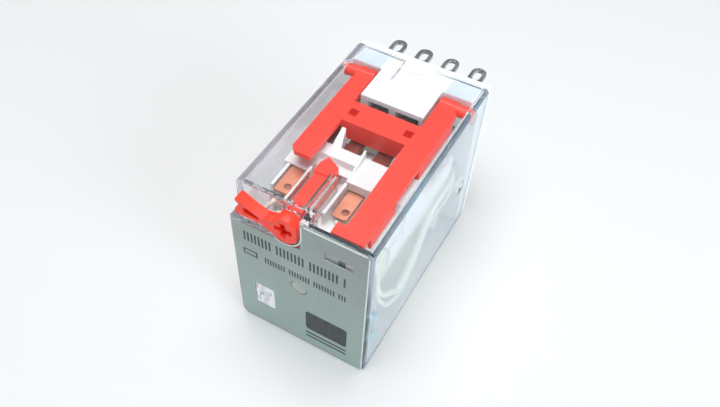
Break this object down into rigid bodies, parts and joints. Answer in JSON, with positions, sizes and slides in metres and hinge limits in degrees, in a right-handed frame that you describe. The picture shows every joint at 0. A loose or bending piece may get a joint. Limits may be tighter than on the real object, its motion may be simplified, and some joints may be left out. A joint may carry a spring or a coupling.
{
  "type": "plug in relay",
  "caption": "Boxy clear-covered plug-in relay with blade terminals, a red tilting indicator frame, a test button with a turning lever, and a grey front label.",
  "frame": {"origin": "centre of the base flange's rear face, which seats on the relay socket", "axes": "+Y points out of the seating face along the blade terminals, +X across the four contact columns, +Z to the side with the indicator frame"},
  "size_m": [0.021, 0.042, 0.0274],
  "materials": {
    "clear_cover": "clear polycarbonate, polished",
    "label_sheet": "grey-green printed sheet, satin",
    "white_plastic": "white moulded plastic",
    "red_plastic": "red moulded plastic, semi-gloss",
    "tinned_brass": "tin plated, slightly dull",
    "copper_alloy": "bare copper alloy strip",
    "silver": "silver alloy, satin",
    "soft_iron": "nickel plated iron",
    "spring_steel": "rolled spring steel",
    "copper_wire": "enamelled copper wire",
    "coil_tape": "pale polyester tape",
    "lead_sleeve": "pale sleeved braid",
    "board": "pale circuit board",
    "led": "clear diffused plastic",
    "resistor": "cyan lacquer"
  },
  "bodies": {
    "housing": {"cover": "clear_cover", "label_plate": "label_sheet", "base": "white_plastic", "terminal_nc_1": "tinned_brass", "terminal_no_1": "tinned_brass", "terminal_com_1": "tinned_brass", "fixed_contact_nc_1": "silver", "fixed_contact_no_1": "silver", "terminal_nc_2": "tinned_brass", "terminal_no_2": "tinned_brass", "terminal_com_2": "tinned_brass", "fixed_contact_nc_2": "silver", "fixed_contact_no_2": "silver", "terminal_nc_3": "tinned_brass", "terminal_no_3": "tinned_brass", "terminal_com_3": "tinned_brass", "fixed_contact_nc_3": "silver", "fixed_contact_no_3": "silver", "terminal_nc_4": "tinned_brass", "terminal_no_4": "tinned_brass", "terminal_com_4": "tinned_brass", "fixed_contact_nc_4": "silver", "fixed_contact_no_4": "silver", "terminal_coil_1": "tinned_brass", "terminal_coil_2": "tinned_brass", "bobbin": "white_plastic", "winding": "copper_wire", "coil_tape": "coil_tape", "core": "soft_iron", "yoke": "soft_iron", "hinge_spring": "spring_steel", "flexible_lead_1": "lead_sleeve", "flexible_lead_2": "lead_sleeve", "flexible_lead_3": "lead_sleeve", "flexible_lead_4": "lead_sleeve", "indicator_board": "board", "indicator_led": "led", "resistor": "resistor"},
    "armature_assembly": {"armature": "soft_iron", "contact_carrier": "white_plastic", "contact_spring_1": "copper_alloy", "contact_spring_2": "copper_alloy", "contact_spring_3": "copper_alloy", "contact_spring_4": "copper_alloy", "moving_contact_1": "silver", "moving_contact_2": "silver", "moving_contact_3": "silver", "moving_contact_4": "silver"},
    "indicator": {"indicator_frame": "red_plastic"},
    "test_button": {"test_slider": "red_plastic"},
    "lever": {"lock_lever": "red_plastic"}
  },
  "joints": [
    {"name": "button_press", "type": "slide", "parent": "housing", "child": "test_button", "axis": [0, 1, 0], "range_m": [0, 0.0006], "stiffness_N_per_m": 1500},
    {"name": "lever_turn", "type": "hinge", "parent": "test_button", "child": "lever", "pos_m": [-0.00205, -0.034, 0.01095], "axis": [0, 1, 0], "range_deg": [0, 90]},
    {"name": "armature_rock", "type": "hinge", "parent": "housing", "child": "armature_assembly", "pos_m": [0, -0.0302, -0.0115], "axis": [-1, 0, 0], "range_deg": [0, 1.6]},
    {"name": "indicator_tilt", "type": "hinge", "parent": "housing", "child": "indicator", "pos_m": [0, -0.0053, 0.0117], "axis": [1, 0, 0], "range_deg": [0, 2.65]}
  ],
  "couplings": [
    {"joint": "armature_rock", "follows": "button_press", "rad_per_m": 45.5},
    {"joint": "indicator_tilt", "follows": "button_press", "rad_per_m": 75}
  ]
}
